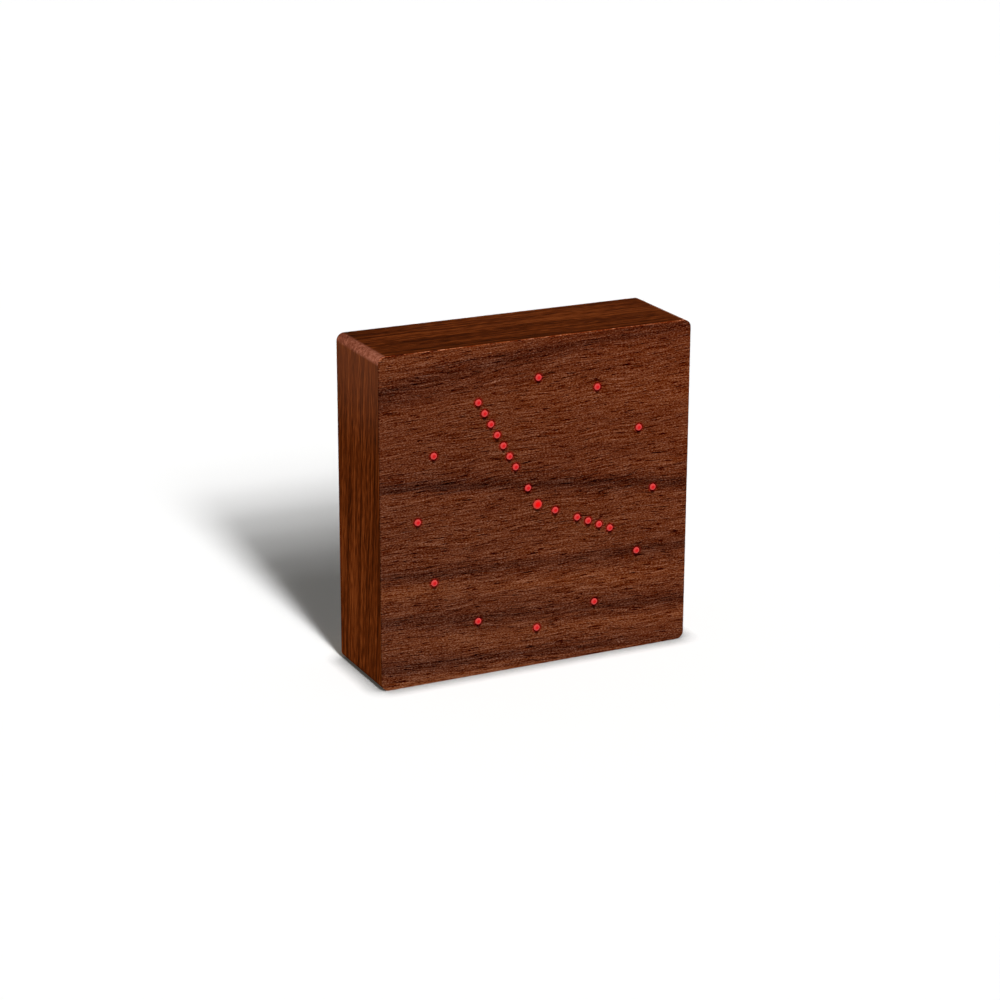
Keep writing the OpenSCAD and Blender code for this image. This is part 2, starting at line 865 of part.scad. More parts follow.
// Solder tag that leads from a contact out through the bay's end wall
module contact_tag(side, tip_x, z) {
    inner_x = bay_w / 2 - contact_t;
    translate([side > 0 ? inner_x : -tip_x, lead_y - tag_w / 2, z - contact_t])
        cube([tip_x - inner_x, tag_w, contact_t]);
}

// Leaf that rises from its base strip and presses on the flat end of each cell
module battery_springs() {
    room = contact_room - contact_t;
    half = contact_w / 2;
    color("#d8dadd") {
        for (k = [0:cell_count - 1])
            cell_at(k)
                translate([-leaf_w / 2, 0, -room])
                    rotate([90, 0, 90])
                        linear_extrude(leaf_w)
                            polygon([
                                [-half, 0],
                                [half, 0],
                                [half, contact_t],
                                [half - leaf_slant, contact_t],
                                [leaf_tip_x, room],
                                [leaf_tip_x - leaf_tip_w, room],
                                [leaf_tip_x - leaf_tip_w, room - contact_t],
                                [leaf_tip_x - leaf_slant / 4, room - contact_t],
                                [half - 2 * leaf_slant, contact_t],
                                [-half, contact_t]
                            ]);
        contact_tag(last_side, abs(negative_lead_x) + lead_d / 2, negative_tag_z);
    }
}

module battery_plates() {
    color("#d8dadd") {
        for (k = [0:cell_count - 1])
            cell_at(k)
                translate([-contact_w / 2, -contact_w / 2, cell_len])
                    cube([contact_w, contact_w, contact_t]);
        contact_tag(1, positive_lead_x + lead_d / 2, positive_tag_z);
    }
}

// A lead climbs from its contact's tag, bends and meets the main board square on
module battery_lead(x, low_z) {
    translate([x, lead_y, low_z])
        cylinder(d = lead_d, h = lead_turn_z - low_z);
    translate([x, lead_y - lead_bend_r, lead_turn_z])
        rotate([90, 0, 90])
            rotate_extrude(angle = 90)
                translate([lead_bend_r, 0])
                    circle(lead_d / 2);
}

module positive_lead() {
    color("#c02020")
        battery_lead(positive_lead_x, positive_tag_z);
}

module negative_lead() {
    color("#202020")
        battery_lead(negative_lead_x, negative_tag_z);
}

// Main board and what it carries

module main_board() {
    color("#14532d")
        along_y(main_front_y, board_t)
            difference() {
                translate([0, main_mid_z])
                    round_rect(main_w, main_h, 1.5);
                at_corners(post_x, post_dz, main_mid_z)
                    circle(board_screw_d / 2 + screw_gap);
            }
}

module board_screws() {
    color("#c9ccd0")
        for (sx = [-1, 1], sz = [-1, 1])
            screw(
                sx * post_x, main_mid_z + sz * post_dz, main_front_y, -1,
                board_screw_d, board_t + board_screw_grip, board_screw_head_d, board_screw_head_h
            );
}

module clock_chip() {
    color("#202224")
        along_y(main_front_y - chip_h, chip_h)
            translate([chip_x, main_mid_z])
                square(chip_w, center = true);
}

module crystal() {
    color("#d0d3d6")
        translate([crystal_x, main_front_y - crystal_d / 2, crystal_z])
            cylinder(d = crystal_d, h = crystal_len);
}

module capacitors() {
    color("#2b3a67")
        for (k = [0:1])
            post(
                capacitor_x + k * capacitor_pitch, capacitor_z,
                main_front_y - capacitor_h, capacitor_h, capacitor_d
            );
}

module buzzer() {
    mouth_d = buzzer_d / 5;
    mouth_depth = 2;
    color("#1f1f22")
        difference() {
            post(sound_x, button_z, main_back_y, buzzer_h, buzzer_d);
            post(sound_x, button_z, main_back_y + buzzer_h - mouth_depth, mouth_depth + cut, mouth_d);
        }
}

// Round can with two pins that stand on the main board
module microphone() {
    pin_d = 0.6;
    pin_x = 1.3;
    color("#b9bcc0") {
        post(mic_x, button_z, cover_in_y - mic_h, mic_h, mic_d);
        for (s = [-1, 1])
            post(mic_x + s * pin_x, button_z, main_back_y, post_len - mic_h, pin_d);
    }
}

module plug(y) {
    along_y(y, plug_h)
        translate([0, plug_z])
            square([ribbon_w + 2, plug_body_h], center = true);
}

module display_plug() {
    color("#e9e6da")
        plug(display_back_y);
}

module main_plug() {
    color("#e9e6da")
        plug(main_front_y - plug_h);
}

// Flat cable: up from one plug, over in a half turn and down into the other
module ribbon_cable() {
    foot_z = plug_z + plug_body_h / 2;
    middle_y = (display_back_y + main_front_y) / 2;
    color("#8f9399")
        translate([-ribbon_w / 2, middle_y, foot_z])
            rotate([90, 0, 90])
                linear_extrude(ribbon_w) {
                    for (s = [-1, 1])
                        translate([s * ribbon_r - ribbon_t / 2, 0])
                            square([ribbon_t, ribbon_leg]);
                    translate([0, ribbon_leg])
                        difference() {
                            circle(ribbon_r + ribbon_t / 2);
                            circle(ribbon_r - ribbon_t / 2);
                            translate([-block_d, -2 * block_d])
                                square(2 * block_d);
                        }
                }
}

// Push buttons and their switches

module push_switches() {
    bore_depth = plunger_in + button_travel + 0.3;
    color("#2a2a2d")
        for (k = [-1:1])
            difference() {
                along_y(main_back_y, tact_h)
                    translate([k * button_pitch, button_z])
                        square(tact_w, center = true);
                post(
                    k * button_pitch, button_z,
                    main_back_y + tact_h - bore_depth, bore_depth + cut,
                    plunger_d + 2 * plunger_gap
                );
            }
}

module plunger(k) {
    color("#c8a04a")
        post(
            k * button_pitch, button_z,
            main_back_y + tact_h - plunger_in, plunger_out + plunger_in, plunger_d
        );
}

module set_plunger() {
    plunger(-1);
}

module up_plunger() {
    plunger(0);
}

module down_plunger() {
    plunger(1);
}

// Cap with a dished face, a collar behind the cover and a foot on the plunger
module push_button(k) {
    dish_r = 9;
    dish_depth = 0.4;
    top_y = cover_out_y + button_proud;
    collar_front_y = collar_y - collar_t;
    x = k * button_pitch;
    color("#3a3a3f")
        difference() {
            union() {
                post(x, button_z, collar_front_y, top_y - collar_front_y, button_d);
                post(x, button_z, collar_front_y, collar_t, button_d + 2 * collar_reach);
                post(x, button_z, plunger_top_y, collar_front_y - plunger_top_y, plunger_d + 0.6);
            }
            translate([x, top_y + dish_r - dish_depth, button_z])
                sphere(dish_r);
        }
}

module set_button() {
    push_button(-1);
}

module up_button() {
    push_button(0);
}

module down_button() {
    push_button(1);
}

// Slide switch of the sound sensor

module slide_switch() {
    color("#b9bcc0")
        difference() {
            along_y(main_back_y, slider_h)
                translate([switch_x, low_row_z])
                    square([slider_l, slider_w], center = true);
            along_y(main_back_y + slider_h - lever_in - 0.2, lever_in + cut)
                translate([switch_x, low_row_z])
                    square([lever_w + knob_travel + 2 * knob_gap, lever_w + 2 * knob_gap], center = true);
        }
}

module switch_lever() {
    color("#202224")
        along_y(lever_y, knob_back_y - flange_t - lever_y)
            translate([knob_rest_x, low_row_z])
                square(lever_w, center = true);
}

module switch_knob() {
    color("#3a3a3f")
        difference() {
            union() {
                along_y(knob_back_y, knob_top_y - knob_back_y)
                    translate([knob_rest_x, low_row_z])
                        square([knob_w, knob_h], center = true);
                along_y(knob_back_y - flange_t, flange_t)
                    translate([knob_rest_x, low_row_z])
                        square([flange_w, flange_h], center = true);
            }
            for (k = [-1:1])
                translate([knob_rest_x + k * knob_w / 4, knob_top_y, low_row_z])
                    cylinder(d = knob_w / 8, h = knob_h + cut, center = true);
        }
}

// Power socket, upright on the main board with its mouth in the rear cover

module power_socket() {
    color("#c3c6ca")
        along_y(main_back_y, socket_back_y - main_back_y)
            translate([socket_x, low_row_z])
                difference() {
                    slot_shape(socket_w, socket_h);
                    slot_shape(socket_w - 2 * socket_wall, socket_h - 2 * socket_wall);
                }
}

// Plastic filling of the socket with the flat tongue that carries its contacts
module socket_tongue() {
    fill_inset = 2 * (socket_wall + fill_gap);
    fill_w = socket_w - fill_inset;
    fill_h = socket_h - fill_inset;
    tongue_y = main_back_y + socket_plug_depth;
    color("#1b1b1d") {
        along_y(main_back_y, socket_plug_depth)
            translate([socket_x, low_row_z])
                slot_shape(fill_w, fill_h);
        along_y(tongue_y, socket_back_y - tongue_short - tongue_y)
            translate([socket_x, low_row_z])
                square([fill_w - fill_h / 2, tongue_t], center = true);
    }
}

case_frame();
side_veneer();
face_veneer();
glue_blocks();
hour_ring_dots();
minute_hand_dots();
hour_hand_dots();
centre_dot();
diffuser_sheet();
light_mask();
lamp_matrix();
display_board();
lamp_drivers();
display_screws();
rear_cover();
cover_screws();
battery_door();
battery_cells();
battery_springs();
battery_plates();
positive_lead();
negative_lead();
main_board();
board_screws();
clock_chip();
crystal();
capacitors();
buzzer();
microphone();
display_plug();
main_plug();
ribbon_cable();
push_switches();
set_plunger();
up_plunger();
down_plunger();
set_button();
up_button();
down_button();
slide_switch();
switch_lever();
switch_knob();
power_socket();
socket_tongue();
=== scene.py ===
"""Looks of a square walnut block clock that shows the time with lit dots.

Metres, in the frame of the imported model.
"""

import math

import bpy
from mathutils import Matrix, Vector


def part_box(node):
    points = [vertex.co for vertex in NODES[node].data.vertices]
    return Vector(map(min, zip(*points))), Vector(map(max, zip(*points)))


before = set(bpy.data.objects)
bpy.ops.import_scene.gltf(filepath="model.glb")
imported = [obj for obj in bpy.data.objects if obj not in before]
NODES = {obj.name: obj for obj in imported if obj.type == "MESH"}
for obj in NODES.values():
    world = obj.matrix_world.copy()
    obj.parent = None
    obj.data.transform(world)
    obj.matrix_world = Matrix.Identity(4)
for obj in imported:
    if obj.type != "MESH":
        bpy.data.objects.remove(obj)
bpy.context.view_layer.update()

MM = 0.001

# The block, from the frame
FACE_LOW, FACE_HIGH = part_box("face_veneer")
BAND_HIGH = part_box("side_veneer")[1]
BLOCK_W = FACE_HIGH.x - FACE_LOW.x
BLOCK_H = FACE_HIGH.z - FACE_LOW.z
BLOCK_MID_Z = (FACE_HIGH.z + FACE_LOW.z) / 2
RING_NODES = ("hour_ring_dots", "minute_hand_dots", "hour_hand_dots")
DOT_NODES = (*RING_NODES, "centre_dot")

# Camera, from the outline of the block in the photograph: its place from the block's middle in widths of the
# block, its turns in degrees and its focal length in pixels
CAMERA_OFFSET = Vector((-3.386, -6.786, 2.472))
CAMERA_YAW = -26.191
CAMERA_PITCH = -18.268
CAMERA_ROLL = -0.18
FOCAL_PX = 2695.4
FRAME_PX = 1000
SENSOR_MM = 36.0
NEAR_CLIP = 0.05
FAR_CLIP = 50.0

# Strip of light that throws the shadow: elevation and width in degrees, and share of the floor's light
SHADOW_STRIP = [(29.0, 8, 0.125), (33.5, 8, 0.325), (38.5, 8, 0.185), (44.5, 10, 0.165), (52.0, 12, 0.085)]
SHADOW_AZIMUTH = -3.2
# Lamps that light the block alone: azimuth, elevation, strength, width in degrees, and whether they light
# the face with its dots or all the other pieces
BLOCK_LAMPS = {
    "key_lamp": (-30, 40, 1.5, 40, False),
    "face_lamp": (-20, 25, 0.35, 30, True),
    "grazing_lamp": (0, 78, 11.2, 4, True),
    "left_lamp": (-90, 20, 2.15, 60, False),
    "back_lamp": (135, 15, 3.0, 60, False),
}
# Level of the light that comes from all sides
AMBIENT = 0.088

FLOOR_HALF = 6.0
FLOOR_WHITE = 0.92
# Grey of the floor for the light that it throws back at the block
FLOOR_BOUNCE = 0.20
# Painted contact shade: the floor darkens this near to what stands on it: its white falls to a share of
# itself as the open part of the sky round a point falls from the open value to the closed one
CONTACT_REACH = 9 * MM
CONTACT_SHADE = 0.20
CONTACT_CLOSED = 0.5
CONTACT_OPEN = 0.92
# Light that the floor's shadow keeps where nothing reaches it, and its slightly warm tint
SHADOW_FLOOR_GLOW = 0.048
SHADOW_FLOOR_TINT = (1.0, 0.97, 0.86, 1.0)

DISPLAY_GAMMA = 2.2
# Most of a noise lies between these two values, and nearly all of it between the wide ones
NOISE_LOW, NOISE_HIGH = 0.3, 0.7
NOISE_WIDE_LOW, NOISE_WIDE_HIGH = 0.2, 0.8


def srgb(r, g, b):
    """Linear colour of an 8-bit display colour."""
    def channel(value):
        share = value / 255
        return share / 12.92 if share <= 0.04045 else ((share + 0.055) / 1.055) ** 2.4
    return (channel(r), channel(g), channel(b), 1.0)


def display(r, g, b):
    """The same colour, raised so that Graph.fine_grained can add grey to it."""
    return tuple(value ** (1 / DISPLAY_GAMMA) for value in srgb(r, g, b))


class Graph:
    """The node tree of a material or a world, built by short calls that return output sockets."""

    def __init__(self, owner, output_kind="ShaderNodeOutputMaterial"):
        owner.use_nodes = True
        self.owner = owner
        self.tree = owner.node_tree
        self.tree.nodes.clear()
        self.output = self.tree.nodes.new(output_kind)

    def put(self, kind, inputs=None, **settings):
        """A node with its settings and its inputs, each a socket to link or a value to set."""
        node = self.tree.nodes.new(kind)
        for key, value in settings.items():
            setattr(node, key, value)
        for key, value in (inputs or {}).items():
            if isinstance(value, bpy.types.NodeSocket):
                self.tree.links.new(value, node.inputs[key])
            else:
                node.inputs[key].default_value = value
        return node

    def place(self):
        """The shaded point in metres."""
        return self.put("ShaderNodeTexCoord").outputs["Object"]

    def place_mm(self):
        """The shaded point in millimetres."""
        return self.scaled(self.place(), (1 / MM, 1 / MM, 1 / MM))

    def facing(self):
        """The three parts of the surface's direction, without its bumps."""
        return self.parts(self.put("ShaderNodeNewGeometry").outputs["True Normal"])

    def math(self, operation, first, second=0.0, third=0.0):
        return self.put("ShaderNodeMath", {0: first, 1: second, 2: third}, operation=operation).outputs[0]

    def scaled(self, vector, factors):
        """The vector times one factor for each axis."""
        return self.put("ShaderNodeVectorMath", {0: vector, 1: factors}, operation="MULTIPLY").outputs[0]

    def moved(self, vector, offset):
        return self.put("ShaderNodeVectorMath", {0: vector, 1: offset}, operation="ADD").outputs[0]

    def noise(self, vector, per_unit, detail=2.0, roughness=0.5, distortion=0.0):
        """Noise with this many features in a unit of the vector, one number for all axes or one for each."""
        factors = per_unit if isinstance(per_unit, tuple) else (per_unit, per_unit, per_unit)
        inputs = {
            "Vector": self.scaled(vector, factors), "Scale": 1.0,
            "Detail": detail, "Roughness": roughness, "Distortion": distortion,
        }
        return self.put("ShaderNodeTexNoise", inputs).outputs["Fac"]

    def spread(self, value, low, high, out_low=0.0, out_high=1.0, smooth=True):
        """The value's stretch from low to high, spread over out_low to out_high."""
        inputs = {0: value, 1: low, 2: high, 3: out_low, 4: out_high}
        kind = "SMOOTHSTEP" if smooth else "LINEAR"
        return self.put("ShaderNodeMapRange", inputs, interpolation_type=kind).outputs[0]

    def rough(self, noise, low, high):
        """A roughness that follows a noise from low to high."""
        return self.spread(noise, NOISE_WIDE_LOW, NOISE_WIDE_HIGH, low, high)

    def layered(self, value, *layers):
        """The value plus each layer about its middle; layers are pairs of a noise and its weight."""
        for layer, weight in layers:
            value = self.math("ADD", value, self.math("MULTIPLY_ADD", layer, weight, -weight / 2))
        return value

    def mix(self, share, first, second, blend="MIX"):
        inputs = {"Factor": share, 6: first, 7: second}
        return self.put("ShaderNodeMix", inputs, data_type="RGBA", blend_type=blend).outputs[2]

    def parts(self, vector):
        return self.put("ShaderNodeSeparateXYZ", {0: vector}).outputs

    def join(self, x, y, z):
        return self.put("ShaderNodeCombineXYZ", {0: x, 1: y, 2: z}).outputs[0]

    def ramp(self, value, stops):
        """A colour ramp; stops are pairs of a place and a linear colour."""
        node = self.put("ShaderNodeValToRGB", {0: value})
        elements = node.color_ramp.elements
        while len(elements) < len(stops):
            elements.new(0.5)
        for element, (place, colour) in zip(elements, stops):
            element.position = place
            element.color = (*colour[:3], 1.0)
        return node.outputs[0]

    def between(self, noise, dark, light):
        """From one display colour to another, as a noise goes from low to high."""
        return self.ramp(noise, [(NOISE_LOW, srgb(*dark)), (NOISE_HIGH, srgb(*light))])

    def fine_grained(self, shade, fine):
        """Linear colour of a display colour that a fine grain makes greyly paler and darker."""
        summed = self.moved(shade, self.join(fine, fine, fine))
        black = (0.0, 0.0, 0.0)
        kept = self.put("ShaderNodeVectorMath", {0: summed, 1: black}, operation="MAXIMUM").outputs[0]
        return self.put("ShaderNodeGamma", {"Color": kept, "Gamma": DISPLAY_GAMMA}).outputs[0]

    def bump(self, height, distance):
        return self.put("ShaderNodeBump", {"Height": height, "Distance": distance}).outputs[0]

    def is_seen(self):
        """One for rays that show the background: from the camera, or by way of gloss or glass."""
        path = self.put("ShaderNodeLightPath").outputs
        seen = self.math("MAXIMUM", path["Is Camera Ray"], path["Is Glossy Ray"])
        return self.math("MAXIMUM", seen, path["Is Transmission Ray"])

    def surface(self, shader):
        """The finished material or world."""
        self.tree.links.new(shader, self.output.inputs["Surface"])
        return self.owner

    def principled(self, **inputs):
        """The finished material; an input's name has underscores for its spaces."""
        named = {key.replace("_", " "): value for key, value in inputs.items()}
        return self.surface(self.put("ShaderNodeBsdfPrincipled", named).outputs[0])


def material_graph(name):
    """The empty node tree of a new material."""
    return Graph(bpy.data.materials.new(name))


# Walnut veneer

class Grain:
    """Noise drawn out along the grain: its features' length and width in millimetres, and its weight."""

    def __init__(self, length, width, weight=1.0, detail=2.0, roughness=0.5):
        self.length = length
        self.width = width
        self.weight = weight
        self.detail = detail
        self.roughness = roughness


# Close to one, because the oiled veneer shows next to no sheen, not even at a low angle
VENEER_IOR = 1.005
VENEER_BUMP = 0.03 * MM

# Display colours of the face without its fine grain, from the darkest band to the palest
FACE_TONES = [
    (0.00, display(46, 16, 8)), (0.25, display(66, 27, 12)), (0.50, display(93, 43, 21)),
    (0.75, display(116, 59, 30)), (1.00, display(142, 80, 45)),
]
# The face's place on those tones, and how far down them the figure's darkest bands go
FACE_TONE = 0.57
FIGURE_DEPTH = 0.88
# Bands of the face's figure: millimetres below the upper edge at the left, in the middle and at the right,
# half width, and how much darker (or, below nought, paler) it is at its left and at its right end
FACE_FIGURE = [
    (5.0, -3.0, -12.0, 7.0, -0.10, 0.00),
    (15.5, 6.5, 3.0, 5.5, 0.24, 0.18),
    (20.0, 15.0, 10.0, 9.0, 0.16, 0.00),
    (24.0, 26.0, 30.0, 15.0, 0.00, -0.13),
    (58.0, 65.5, 76.0, 4.0, 0.26, 0.24),
    (56.0, 64.0, 73.0, 10.0, 0.12, 0.12),
    (98.0, 101.5, 103.5, 5.0, 0.24, 0.22),
    (105.5, 111.5, 117.0, 6.5, -0.18, -0.14),
    (118.0, 125.0, 129.5, 6.0, 0.22, 0.24),
    (129.0, 134.5, 138.0, 5.5, -0.10, -0.20),
    (140.5, 144.0, 148.5, 4.5, 0.26, 0.16),
    (149.5, 151.0, 157.0, 5.0, -0.28, -0.10),
]
# How far the grain falls from the left edge to the right, in millimetres, at the upper and at the lower edge
GRAIN_FALL_TOP = -9.0
GRAIN_FALL_BELOW = 7.0
# What bends the lines of the grain, and what makes the edges of the figure's bands ragged
FACE_SWAY = Grain(40, 16, weight=5.0, detail=1.0)
FACE_RIPPLE = Grain(12, 4, detail=1.0)
FACE_RAGGED = Grain(60, 1.3, weight=14.0, detail=3.0, roughness=0.7)
# Neighbouring lines of the grain slide past each other, so that the noises' own columns don't show: the
# slide's noise, and its millimetres for long, short and point-like features
FACE_SLIP = Grain(50, 0.9)
SLIDE_LONG = 110.0
SLIDE_SHORT = 26.0
SLIDE_POINT = 4.0
# Layers of the tone, and then of the fine grain
FACE_CLOUD = Grain(45, 8, weight=0.30)
FACE_STREAK = Grain(60, 1.5, weight=0.44, detail=3.0, roughness=0.7)
FACE_HAIR = Grain(16, 0.34, weight=0.50, detail=1.0, roughness=0.7)
FACE_SPECKLE = Grain(0.9, 0.32, weight=0.70, detail=1.0, roughness=0.6)
# Pores are short dashes where this noise falls from the first value to the second
FACE_PORE = Grain(6, 0.42, weight=-0.24, detail=1.0)
PORE_EDGE = 0.42
PORE_DEEP = 0.35
# How much the speckle rises, in depths of a pore
SPECKLE_RISE = 0.3

# How much the veneer fades from the right to the left edge and from the upper to the lower one, and what
# fading does to its colour, as shares of full display brightness
FADE_LEFT = 4.5
FADE_BELOW = 5.2
FADE_TINT = (-0.0031, 0.0007, 0.0024)
# Least distance between two lit dots, depth of a dot's flat top, and the width of its sloping rim
DOT_SPACE = 5.0 * MM
DOT_TOP = 0.05 * MM
DOT_SLOPE = 0.7 * MM
# How far the painted red light of a lit dot reaches over the veneer round it, and what it does to the
# veneer's colour
DOT_LIGHT_REACH = 1.5 * MM
DOT_LIGHT_TINT = (1.25, 0.12, 0.12, 1.0)


def dots():
    """Centre and radius of every lit dot, from the points of the flat tops."""
    found = []
    for name in DOT_NODES:
        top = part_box(name)[0].y + DOT_TOP
        groups = []
        for vertex in NODES[name].data.vertices:
            point = Vector((vertex.co.x, FACE_LOW.y, vertex.co.z))
            near = [group for group in groups if (group[0] - point).length < DOT_SPACE / 2]
            if vertex.co.y < top and near:
                near[0].append(point)
            elif vertex.co.y < top:
                groups.append([point])
        for group in groups:
            centre = sum(group, Vector()) / len(group)
            found.append((centre, (group[0] - centre).length + DOT_SLOPE))
    return found


def figure_shade(g, share, down, total, band):
    """Adds one band of the figure to the total; share runs from nought at the left to one at the right."""
    left, middle, right, half_width, depth_left, depth_right = band
    bow = 4 * middle - 2 * (left + right)
    slope = g.math("MULTIPLY_ADD", share, -bow, right - left + bow)
    centre = g.math("MULTIPLY_ADD", share, slope, left)
    distance = g.math("ABSOLUTE", g.math("SUBTRACT", down, centre))
    body = g.spread(distance, half_width, 0.0)
    depth = g.math("MULTIPLY_ADD", share, depth_right - depth_left, depth_left)
    return g.math("MULTIPLY_ADD", body, depth, total)


def painted_dot_light(g):
    """Mask of the painted red light round the lit dots: one at a dot's rim, falling to nought at its reach.
    """
    place = g.place()
    nearest = DOT_LIGHT_REACH
    for centre, radius in dots():
        away = g.put("ShaderNodeVectorMath", {0: place, 1: centre}, operation="DISTANCE").outputs["Value"]
        nearest = g.math("MINIMUM", nearest, g.math("SUBTRACT", away, radius))
    return g.spread(nearest, DOT_LIGHT_REACH, 0.0)


def walnut_face():
    """Open-pored veneer with its grain along X, its figure's bands, dark pores and a pale speckle."""
    g = material_graph("walnut_face")
    place = g.place_mm()
    x, y, z = g.parts(place)
    share = g.math("MULTIPLY_ADD", x, MM / BLOCK_W, 0.5)
    down = g.math("SUBTRACT", FACE_HIGH.z / MM, z)

    def layer(vector, grain):
        return g.noise(vector, (1 / grain.length, 0, 1 / grain.width), grain.detail, grain.roughness)

    fall = g.spread(down, 0.0, BLOCK_H / MM, GRAIN_FALL_TOP, GRAIN_FALL_BELOW, smooth=False)
    across = g.math("SUBTRACT", down, g.math("MULTIPLY", share, fall))
    for bend in (FACE_RIPPLE, FACE_SWAY):
        across = g.math("MULTIPLY_ADD", layer(place, bend), bend.weight, across)
    slip = layer(place, FACE_SLIP)
    long_grain, short_grain, point_grain = (
        g.join(g.math("MULTIPLY_ADD", slip, slide, x), 0.0, across)
        for slide in (SLIDE_LONG, SLIDE_SHORT, SLIDE_POINT)
    )

    bent = g.layered(down, (layer(long_grain, FACE_RAGGED), FACE_RAGGED.weight))
    dark = 0.0
    for band in FACE_FIGURE:
        dark = figure_shade(g, share, bent, dark, band)
    streak = layer(long_grain, FACE_STREAK)
    tone = g.layered(
        g.math("MULTIPLY_ADD", dark, -FIGURE_DEPTH, FACE_TONE),
        (layer(long_grain, FACE_CLOUD), FACE_CLOUD.weight),
        (streak, FACE_STREAK.weight),
    )

    pore = g.spread(layer(short_grain, FACE_PORE), PORE_EDGE, PORE_DEEP)
    speckle = layer(point_grain, FACE_SPECKLE)
    fine = g.layered(
        g.math("MULTIPLY", pore, FACE_PORE.weight),
        (layer(short_grain, FACE_HAIR), FACE_HAIR.weight),
        (speckle, FACE_SPECKLE.weight),
    )
    fade = g.math("MULTIPLY_ADD", share, -FADE_LEFT, g.math("MULTIPLY", down, FADE_BELOW * MM / BLOCK_H))
    faded = g.moved(g.ramp(tone, FACE_TONES), g.scaled(g.join(fade, fade, fade), FADE_TINT))
    colour = g.fine_grained(faded, fine)
    # Painted light: the veneer round each lit dot is tinted with the dot's red light
    colour = g.mix(painted_dot_light(g), colour, g.mix(1.0, colour, DOT_LIGHT_TINT, "MULTIPLY"))
    height = g.math("MULTIPLY_ADD", pore, -1.0, g.math("MULTIPLY", speckle, SPECKLE_RISE))
    return g.principled(
        Base_Color=colour, Roughness=g.rough(streak, 0.55, 0.70), IOR=VENEER_IOR,
        Normal=g.bump(height, VENEER_BUMP)
    )


# Colours of the side veneer, from the darkest tone to the palest
BAND_TONES = [
    (0.00, srgb(38, 13, 2)), (0.30, srgb(62, 23, 4)), (0.50, srgb(80, 32, 7)),
    (0.70, srgb(97, 42, 12)), (1.00, srgb(124, 61, 24)),
]
# The upright sides' place on those tones, how much darker the upper and lower sides are, and how much they
# brighten with each millimetre to the right
SIDE_TONE = 0.50
LYING_DARKER = 0.03
LYING_BRIGHTEN = 0.0006
# A pale flame along the middle of each side: its place on Y, its reach and its weight
FLAME_Y = 7.5
FLAME_REACH = 8.0
FLAME_WEIGHT = 0.14
# What bends the grain, how much it leans, and how far its lines slide past each other
BAND_WAVE = Grain(50, 25, weight=5.0, detail=1.0)
BAND_LEAN = 0.06
BAND_SLIP = Grain(90, 1)
BAND_SLIDE_LONG = 120.0
BAND_SLIDE_SHORT = 30.0
# Layers of the tone
BAND_CLOUD = Grain(120, 7, weight=0.8)
BAND_STREAK = Grain(160, 2.6, weight=1.4, detail=3.0, roughness=0.6)
BAND_FIBRE = Grain(45, 0.8, weight=1.4, detail=1.0, roughness=0.6)
BAND_FLECK = Grain(5, 0.8, weight=1.6, detail=1.0, roughness=0.6)
# Sets the noises of the four sides apart
SIDE_SEED = 37.0
# Colour of the painted highlight that the upright sides turn to near their upper ends, its share, and where
# below the upper side the painted highlight starts and where it is full, in millimetres
SIDE_TOP_HIGHLIGHT = srgb(126, 72, 48)
SIDE_HIGHLIGHT_SHARE = 0.30
SIDE_HIGHLIGHT_START = 50.0
SIDE_HIGHLIGHT_FULL = 5.0
# Tones of the painted highlight on the rounded upper corners, how much this painted sheen darkens with each
# millimetre to the back as painted shade, and how near to both sides it starts and is full
CORNER_SHEEN_TONES = [(0.30, srgb(98, 48, 33)), (0.50, srgb(131, 72, 52)), (0.70, srgb(163, 100, 78))]
CORNER_SHEEN_SHARE = 0.9
CORNER_SHEEN_BACK_SHADE = 0.004
CORNER_SHEEN_START = 4.2
CORNER_SHEEN_FULL = 2.4
CORNER_SHEEN_GRIT_MM = 1.2


